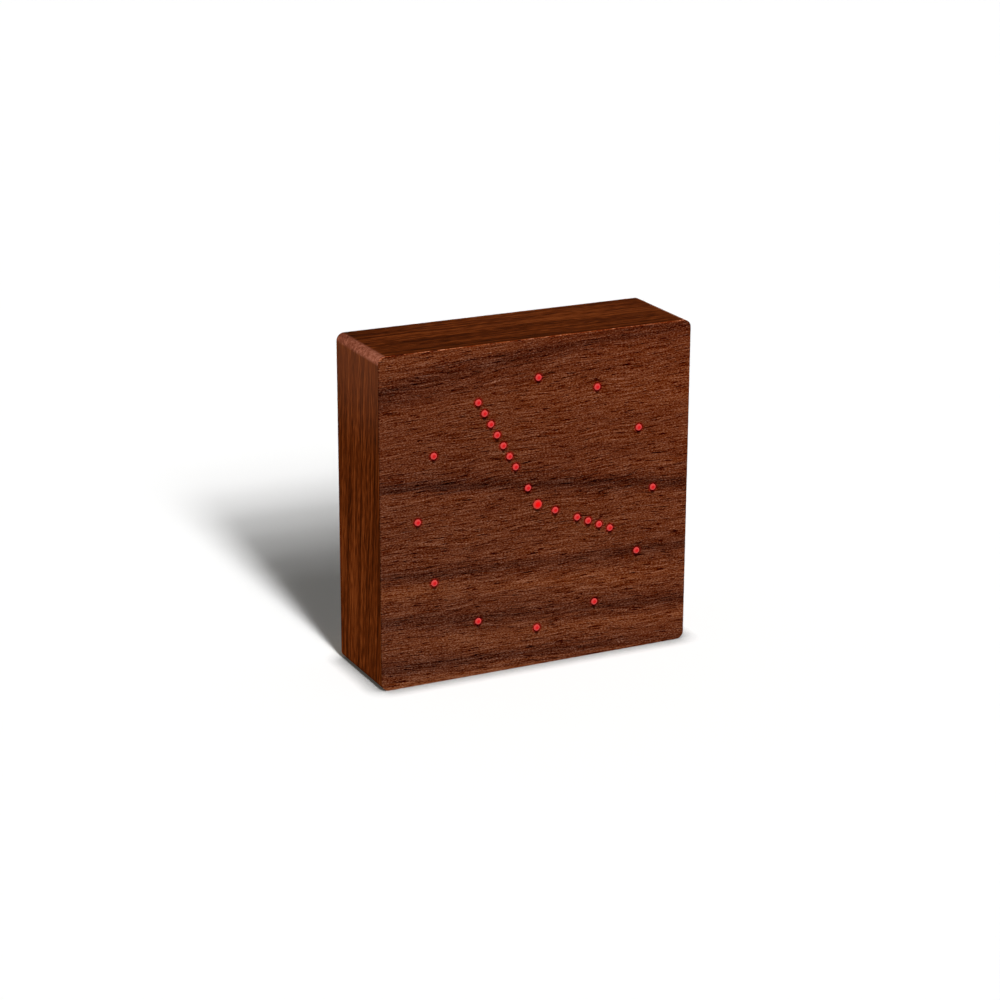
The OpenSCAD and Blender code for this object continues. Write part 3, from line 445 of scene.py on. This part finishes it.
def walnut_band():
    """Veneer strips round the sides: the grain runs along X above and below, and upright on both sides."""
    g = material_graph("walnut_band")
    place = g.place_mm()
    x, y, z = g.parts(place)
    half = BLOCK_W / MM / 2
    height = g.math("SUBTRACT", z, BLOCK_MID_Z / MM)
    aside = g.math("ABSOLUTE", x)
    upright = g.math("GREATER_THAN", aside, g.math("ABSOLUTE", height))
    lying = g.math("SUBTRACT", 1.0, upright)
    along = g.math("ADD", g.math("MULTIPLY", upright, height), g.math("MULTIPLY", lying, x))
    which_side = g.math("ADD", upright, g.math("SIGN", g.math("ADD", x, height)))
    seed = g.math("MULTIPLY", which_side, SIDE_SEED)

    def layer(vector, grain):
        return g.noise(vector, (1 / grain.length, 1 / grain.width, 1), grain.detail, grain.roughness)

    wave = layer(g.join(along, y, seed), BAND_WAVE)
    lean = g.math("MULTIPLY", g.math("MULTIPLY", along, upright), BAND_LEAN)
    across = g.math("ADD", g.math("MULTIPLY_ADD", wave, BAND_WAVE.weight, y), lean)
    slip = layer(g.join(along, across, seed), BAND_SLIP)
    long_grain, short_grain = (
        g.join(g.math("MULTIPLY_ADD", slip, slide, along), across, seed)
        for slide in (BAND_SLIDE_LONG, BAND_SLIDE_SHORT)
    )

    flame = g.spread(g.math("ABSOLUTE", g.math("SUBTRACT", across, FLAME_Y)), FLAME_REACH, 0.0)
    plain = g.math("MULTIPLY_ADD", lying, -LYING_DARKER, SIDE_TONE)
    tone = g.math("MULTIPLY_ADD", flame, FLAME_WEIGHT, plain)
    tone = g.math("ADD", tone, g.math("MULTIPLY", g.math("MULTIPLY", x, lying), LYING_BRIGHTEN))
    fibre = layer(long_grain, BAND_FIBRE)
    tone = g.layered(
        tone,
        (layer(long_grain, BAND_CLOUD), BAND_CLOUD.weight),
        (layer(long_grain, BAND_STREAK), BAND_STREAK.weight),
        (fibre, BAND_FIBRE.weight),
        (layer(short_grain, BAND_FLECK), BAND_FLECK.weight),
    )
    colour = g.ramp(tone, BAND_TONES)

    # Painted highlight: the upright sides turn paler towards their upper ends, below the corners' painted
    # sheen
    fade = g.math("MULTIPLY", upright, g.spread(height, half - SIDE_HIGHLIGHT_START, half - SIDE_HIGHLIGHT_FULL))
    colour = g.mix(g.math("MULTIPLY", fade, SIDE_HIGHLIGHT_SHARE), colour, SIDE_TOP_HIGHLIGHT)
    # Painted highlight: the rounded upper corners are painted pale, with painted shade darkening them
    # towards the back
    sheen_mask = g.spread(g.math("MINIMUM", aside, height), half - CORNER_SHEEN_START, half - CORNER_SHEEN_FULL)
    grit = g.noise(place, 1 / CORNER_SHEEN_GRIT_MM, roughness=0.7)
    painted_sheen = g.ramp(g.math("MULTIPLY_ADD", y, -CORNER_SHEEN_BACK_SHADE, grit), CORNER_SHEEN_TONES)
    colour = g.mix(g.math("MULTIPLY", sheen_mask, CORNER_SHEEN_SHARE), colour, painted_sheen)
    return g.principled(
        Base_Color=colour, Roughness=g.rough(fibre, 0.50, 0.66), IOR=VENEER_IOR,
        Normal=g.bump(fibre, VENEER_BUMP)
    )


# Raw fibreboard: fluff, chips and patches in a millimetre; the chips are thinnest along Y
FLUFF_PER_MM = 2.6
CHIP_PER_MM = (0.9, 3.5, 0.9)
PATCH_PER_MM = 0.08


def fibreboard():
    """Raw board: fine fluff, pressed chips and large pale patches."""
    g = material_graph("fibreboard")
    place = g.place_mm()
    fluff = g.noise(place, FLUFF_PER_MM, detail=4.0, roughness=0.75)
    chip = g.noise(place, CHIP_PER_MM, roughness=0.6, distortion=1.5)
    patch = g.noise(place, PATCH_PER_MM, detail=1.0)
    coarse = g.math("MULTIPLY_ADD", chip, 0.3, g.math("MULTIPLY", patch, 0.2))
    tone = g.math("MULTIPLY_ADD", fluff, 0.5, coarse)
    return g.principled(
        Base_Color=g.between(tone, (122, 90, 58), (186, 150, 108)), Roughness=g.rough(fluff, 0.84, 0.96),
        Normal=g.bump(fluff, 0.05 * MM)
    )


# Lit dots

# A dot's paler rim colour is a painted highlight on its sloping edge
DOT_CORE = srgb(212, 28, 34)
DOT_RIM_HIGHLIGHT = srgb(208, 66, 62)
CENTRE_CORE = srgb(245, 10, 14)
CENTRE_RIM_HIGHLIGHT = srgb(200, 66, 56)
CENTRE_RIM_WIDTH = 1.1 * MM
# Share of a dot's colour that it sends out by itself
DOT_GLOW = 0.9
DOT_IOR = 1.15
# How straight to the front a dot's surface faces, from its rim to its flat top
RIM_FACING = 0.90
TOP_FACING = 0.98
# Specks of a dot in a metre
DOT_GRIT = 2500.0


def lit_dot(name, core, rim, rim_width=0.0):
    """Translucent red cap: its flat top glows and its rim is paler with a painted highlight, for a lone dot
    over rim_width too.
    """
    g = material_graph(name)
    place = g.place()
    flat = g.spread(g.math("MULTIPLY", g.facing()[1], -1.0), RIM_FACING, TOP_FACING)
    if rim_width:
        low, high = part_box("centre_dot")
        centre, radius = (low + high) / 2, (high.x - low.x) / 2
        spoke = g.scaled(g.moved(place, -centre), (1, 0, 1))
        away = g.put("ShaderNodeVectorMath", {0: spoke}, operation="LENGTH").outputs["Value"]
        flat = g.math("MINIMUM", flat, g.spread(away, radius, radius - rim_width))
    grit = g.noise(place, DOT_GRIT, detail=1.0)
    shade = g.spread(grit, NOISE_LOW, NOISE_HIGH, 0.92, 1.06)
    # Painted highlight: the sloping rim takes the paler rim colour
    colour = g.mix(1.0, g.mix(flat, rim, core), g.join(shade, shade, shade), "MULTIPLY")
    unlit = 1.0 - DOT_GLOW
    base = g.mix(1.0, colour, (unlit, unlit, unlit, 1.0), "MULTIPLY")
    return g.principled(
        Base_Color=base, Roughness=g.rough(grit, 0.38, 0.52), IOR=DOT_IOR,
        Emission_Color=colour, Emission_Strength=DOT_GLOW, Normal=g.bump(grit, 0.01 * MM)
    )


# Plastics, metals and electronics

# Moulded plastics: dark and light display colour, grain and its depth in millimetres, roughness and nodes
MOULDED = {
    "opal": ((228, 225, 214), (244, 242, 234), 0.6, 0.01, 0.6, ["diffuser_sheet"]),
    "mask_black": ((18, 18, 20), (32, 32, 35), 0.3, 0.02, 0.7, ["light_mask"]),
    "lamp_cream": ((224, 190, 120), (246, 222, 160), 0.4, 0.01, 0.25, ["lamp_matrix"]),
    "part_black": ((22, 22, 25), (38, 38, 42), 0.25, 0.02, 0.5, [
        "lamp_drivers", "clock_chip", "push_switches", "buzzer", "socket_tongue", "switch_lever",
    ]),
    "cover_black": ((30, 30, 32), (44, 44, 47), 0.35, 0.05, 0.55, ["rear_cover", "battery_door"]),
    "button_grey": ((66, 66, 70), (86, 86, 91), 0.3, 0.01, 0.4, [
        "set_button", "up_button", "down_button", "switch_knob",
    ]),
    "plunger_tan": ((186, 148, 84), (208, 172, 108), 0.3, 0.01, 0.45, [
        "set_plunger", "up_plunger", "down_plunger",
    ]),
    "plug_ivory": ((222, 216, 196), (238, 234, 218), 0.4, 0.01, 0.45, ["display_plug", "main_plug"]),
}
# Metals: dark and light display colour, axis across the streaks, roughness and nodes
METALS = {
    "screw_steel": ((150, 152, 156), (190, 192, 196), 1, 0.35, [
        "display_screws", "board_screws", "cover_screws",
    ]),
    "tinned": ((186, 188, 192), (222, 223, 226), 2, 0.25, [
        "battery_springs", "battery_plates", "crystal", "power_socket", "slide_switch", "microphone",
    ]),
}
# Soft sleeves of wires and parts: dark and light display colour and the node
SLEEVES = {
    "lead_red": ((150, 22, 22), (190, 36, 34), "positive_lead"),
    "lead_black": ((20, 20, 22), (38, 38, 41), "negative_lead"),
    "capacitor_blue": ((30, 42, 86), (44, 60, 112), "capacitors"),
}
# In a metre: the slow clouds of a moulded plastic, the smears of a sleeve, the stains of a metal, and its
# streaks along them and across them
CLOUDS = 60.0
SMEARS = 400.0
STAINS = 250.0
STREAKS_ALONG = 900.0
STREAKS_ACROSS = 9000.0

# Tracks of a circuit board: cells and width of the pattern, and the fields and the weave in a millimetre
TRACK_CELLS = 0.35
TRACK_WIDTH = 0.06
TRACK_FIELDS = 0.05
BOARD_WEAVE = 3.0

# Cells in the battery bay, and the gap between two of them as a share of their pitch
CELL_COUNT = 4
CELL_GAP_SHARE = 0.045
# Where the copper band of a cell's sleeve starts, from its middle, half the width of the line there, and
# how straight to the side a cell's bare ends face at least
CELL_BAND_START = 9.0
CELL_LINE_HALF = 0.5
CELL_END_FACING = 0.9

# Pitch of the flat cable's cores, and the edge of the first one, which is red
CORE_PITCH = 1.27
FIRST_CORE_X = -5.8


def moulded(name, dark, light, grain_mm, depth_mm, roughness):
    """Moulded plastic with a fine spark texture."""
    g = material_graph(name)
    place = g.place()
    grit = g.noise(place, 1 / (grain_mm * MM), roughness=0.6)
    cloud = g.noise(place, CLOUDS, detail=1.0)
    tone = g.math("MULTIPLY_ADD", grit, 0.6, g.math("MULTIPLY", cloud, 0.4))
    rough = g.rough(grit, roughness - 0.08, roughness + 0.08)
    return g.principled(
        Base_Color=g.between(tone, dark, light), Roughness=rough, Normal=g.bump(grit, depth_mm * MM)
    )


def metal(name, dark, light, streak_axis, roughness):
    """Bright metal with fine streaks across one axis."""
    g = material_graph(name)
    place = g.place()
    streaks = tuple(STREAKS_ACROSS if axis == streak_axis else STREAKS_ALONG for axis in range(3))
    streak = g.noise(place, streaks)
    colour = g.between(g.noise(place, STAINS), dark, light)
    rough = g.rough(streak, roughness - 0.08, roughness + 0.10)
    return g.principled(
        Base_Color=colour, Metallic=1.0, Roughness=rough, Normal=g.bump(streak, 0.01 * MM)
    )


def sleeve(name, dark, light):
    """Soft, slightly smeared plastic round a wire or a part."""
    g = material_graph(name)
    smear = g.noise(g.place(), SMEARS)
    return g.principled(
        Base_Color=g.between(smear, dark, light), Roughness=g.rough(smear, 0.44, 0.56),
        Normal=g.bump(smear, 0.02 * MM)
    )


def circuit_board():
    """Green solder resist with faint copper tracks under it."""
    g = material_graph("circuit_board")
    place = g.place_mm()
    x, y, z = g.parts(place)
    white, black = (1, 1, 1, 1), (0, 0, 0, 1)
    cells = g.put("ShaderNodeTexBrick", {
        "Vector": g.join(x, z, 0.0), "Scale": TRACK_CELLS, "Mortar Size": TRACK_WIDTH,
        "Mortar Smooth": 0.1, "Color1": white, "Color2": white, "Mortar": black,
    }).outputs["Fac"]
    field = g.noise(place, TRACK_FIELDS, detail=1.0)
    track = g.math("MULTIPLY", cells, g.spread(field, 0.40, 0.48))
    weave = g.noise(place, BOARD_WEAVE, detail=1.0)
    colour = g.mix(track, g.between(weave, (14, 64, 34), (20, 78, 42)), srgb(46, 118, 66))
    return g.principled(
        Base_Color=colour, Roughness=g.rough(weave, 0.28, 0.42), Normal=g.bump(track, 0.03 * MM)
    )


def cell_sleeve():
    """Printed sleeve with a copper band at the button end, and bare metal at both ends of each cell."""
    g = material_graph("cell_sleeve")
    place = g.place_mm()
    x, y, z = g.parts(place)
    low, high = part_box("battery_cells")
    pitch = (high.z - low.z) / MM / (CELL_COUNT - CELL_GAP_SHARE)
    row = g.math("FLOOR", g.math("DIVIDE", g.math("SUBTRACT", z, low.z / MM), pitch))
    side = g.math("MULTIPLY_ADD", g.math("MODULO", row, 2.0), -2.0, 1.0)
    band = g.math("GREATER_THAN", g.math("MULTIPLY", x, side), CELL_BAND_START)
    past_start = g.math("MULTIPLY_ADD", x, side, -CELL_BAND_START)
    line = g.math("LESS_THAN", g.math("ABSOLUTE", past_start), CELL_LINE_HALF)
    bare = g.math("GREATER_THAN", g.math("ABSOLUTE", g.facing()[0]), CELL_END_FACING)
    smear = g.noise(place, (0.05, 2.0, 2.0))
    body = g.between(smear, (36, 96, 60), (52, 122, 78))
    copper = g.between(smear, (176, 120, 72), (206, 150, 98))
    colour = g.mix(line, g.mix(band, body, copper), srgb(226, 226, 220))
    colour = g.mix(bare, colour, srgb(196, 198, 200))
    return g.principled(
        Base_Color=colour, Metallic=bare, Roughness=g.rough(smear, 0.26, 0.38),
        Normal=g.bump(smear, 0.01 * MM)
    )


def ribbon():
    """Flat cable: parallel cores side by side along X, with painted shade in the grooves between them."""
    g = material_graph("ribbon")
    x, y, z = g.parts(g.place_mm())
    core = g.math("ABSOLUTE", g.math("SINE", g.math("MULTIPLY", x, math.pi / CORE_PITCH)))
    first = g.math("LESS_THAN", x, FIRST_CORE_X)
    # Painted shade: each core is pale along its crest and darker in the groove beside the next
    colour = g.mix(g.spread(core, 0.0, 0.6), srgb(70, 72, 76), srgb(150, 153, 158))
    colour = g.mix(first, colour, srgb(168, 40, 40))
    rough = g.spread(core, 0.0, 1.0, 0.60, 0.45)
    return g.principled(Base_Color=colour, Roughness=rough, Normal=g.bump(core, 0.2 * MM))


def paint(material, *names):
    """Gives the nodes one material."""
    for name in names:
        slots = NODES[name].data.materials
        slots.clear()
        slots.append(material)


def dress_nodes():
    """Gives every node its material."""
    paint(walnut_face(), "face_veneer")
    paint(walnut_band(), "side_veneer")
    paint(fibreboard(), "case_frame", "glue_blocks")
    paint(lit_dot("dot_red", DOT_CORE, DOT_RIM_HIGHLIGHT), *RING_NODES)
    paint(lit_dot("dot_centre", CENTRE_CORE, CENTRE_RIM_HIGHLIGHT, CENTRE_RIM_WIDTH), "centre_dot")
    paint(circuit_board(), "display_board", "main_board")
    paint(cell_sleeve(), "battery_cells")
    paint(ribbon(), "ribbon_cable")
    for name, (dark, light, grain_mm, depth_mm, roughness, nodes) in MOULDED.items():
        paint(moulded(name, dark, light, grain_mm, depth_mm, roughness), *nodes)
    for name, (dark, light, streak_axis, roughness, nodes) in METALS.items():
        paint(metal(name, dark, light, streak_axis, roughness), *nodes)
    for name, (dark, light, node) in SLEEVES.items():
        paint(sleeve(name, dark, light), node)


# Floor, backdrop and light

def floor_material():
    """White where it is seen, with the block's shadow; a mid grey for the light that it throws back."""
    g = material_graph("floor")
    seen = g.is_seen()
    open_share = g.put("ShaderNodeAmbientOcclusion", {"Distance": CONTACT_REACH}, samples=3).outputs["AO"]
    # Painted contact shade in the floor's white, from the open share of the sky round each point
    white = g.spread(
        open_share, CONTACT_CLOSED, CONTACT_OPEN, CONTACT_SHADE * FLOOR_WHITE, FLOOR_WHITE, smooth=False
    )
    bounce = (FLOOR_BOUNCE, FLOOR_BOUNCE, FLOOR_BOUNCE, 1)
    colour = g.mix(seen, bounce, g.join(white, white, white))
    matt = g.put("ShaderNodeBsdfDiffuse", {"Color": colour}).outputs[0]
    glow_level = g.math("MULTIPLY", seen, SHADOW_FLOOR_GLOW)
    glow = g.put("ShaderNodeEmission", {"Color": SHADOW_FLOOR_TINT, "Strength": glow_level}).outputs[0]
    lit = g.put("ShaderNodeAddShader", {0: matt, 1: glow}).outputs[0]
    below = g.put("ShaderNodeNewGeometry").outputs["Backfacing"]
    clear = g.put("ShaderNodeBsdfTransparent").outputs[0]
    return g.surface(g.put("ShaderNodeMixShader", {0: below, 1: lit, 2: clear}).outputs[0])


def make_floor():
    """A square that the block stands on, which can be seen through from below."""
    half = FLOOR_HALF
    mesh = bpy.data.meshes.new("floor")
    corners = [(-half, -half, 0), (half, -half, 0), (half, half, 0), (-half, half, 0)]
    mesh.from_pydata(corners, [], [(0, 1, 2, 3)])
    floor = bpy.data.objects.new("floor", mesh)
    floor.data.materials.append(floor_material())
    bpy.context.scene.collection.objects.link(floor)
    return floor


def make_world():
    """White behind the block, and a weak light from all sides."""
    g = Graph(bpy.data.worlds.new("studio"), "ShaderNodeOutputWorld")
    strength = g.spread(g.is_seen(), 0.0, 1.0, AMBIENT, 1.0, smooth=False)
    white = (1.0, 1.0, 1.0, 1.0)
    bpy.context.scene.world = g.surface(
        g.put("ShaderNodeBackground", {"Color": white, "Strength": strength}).outputs[0]
    )


def direction(azimuth, elevation):
    """Unit vector; azimuth 0 is in front of the face, 90 on the viewer's right."""
    a, e = math.radians(azimuth), math.radians(elevation)
    return Vector((math.sin(a) * math.cos(e), -math.cos(a) * math.cos(e), math.sin(e)))


def make_sun(name, azimuth, elevation, strength, width, targets):
    """A distant lamp of a width in degrees, which lights the targets alone."""
    data = bpy.data.lights.new(name, "SUN")
    data.energy = strength
    data.angle = math.radians(width)
    lamp = bpy.data.objects.new(name, data)
    bpy.context.scene.collection.objects.link(lamp)
    towards = direction(azimuth, elevation)
    lamp.location = towards * 2
    lamp.rotation_mode = "QUATERNION"
    lamp.rotation_quaternion = towards.to_track_quat("Z", "Y")
    group = bpy.data.collections.new(lamp.name + "_targets")
    for target in targets:
        group.objects.link(target)
    lamp.light_linking.receiver_collection = group


def make_lights(floor):
    """The floor has lamps of its own that throw the block's shadow; the others light the block alone."""
    shown_names = ("face_veneer", *DOT_NODES)
    shown = [NODES[name] for name in shown_names]
    rest = [node for name, node in NODES.items() if name not in shown_names]
    for elevation, width, share in SHADOW_STRIP:
        strength = share / FLOOR_WHITE * math.pi / math.sin(math.radians(elevation))
        make_sun("shadow_lamp", SHADOW_AZIMUTH, elevation, strength, width, [floor])
    for name, (azimuth, elevation, strength, width, for_face) in BLOCK_LAMPS.items():
        make_sun(name, azimuth, elevation, strength, width, shown if for_face else rest)


def make_camera():
    """The photograph's camera, placed by the block's middle and width."""
    data = bpy.data.cameras.new("camera")
    data.sensor_width = SENSOR_MM
    data.lens = FOCAL_PX / FRAME_PX * SENSOR_MM
    data.clip_start = NEAR_CLIP
    data.clip_end = FAR_CLIP
    camera = bpy.data.objects.new("camera", data)
    centre = Vector((0, (BAND_HIGH.y + FACE_LOW.y) / 2, BLOCK_MID_Z))
    turn = Matrix.Rotation(math.radians(CAMERA_YAW), 4, "Z")
    tilt = Matrix.Rotation(math.radians(CAMERA_PITCH), 4, "X")
    roll = Matrix.Rotation(math.radians(CAMERA_ROLL), 4, "Y")
    level = Matrix.Rotation(math.radians(90), 4, "X")
    camera.matrix_world = Matrix.Translation(centre + CAMERA_OFFSET * BLOCK_W) @ turn @ tilt @ roll @ level
    bpy.context.scene.collection.objects.link(camera)
    bpy.context.scene.camera = camera


make_camera()
dress_nodes()
make_world()
make_lights(make_floor())
bpy.context.scene.view_settings.view_transform = "Standard"
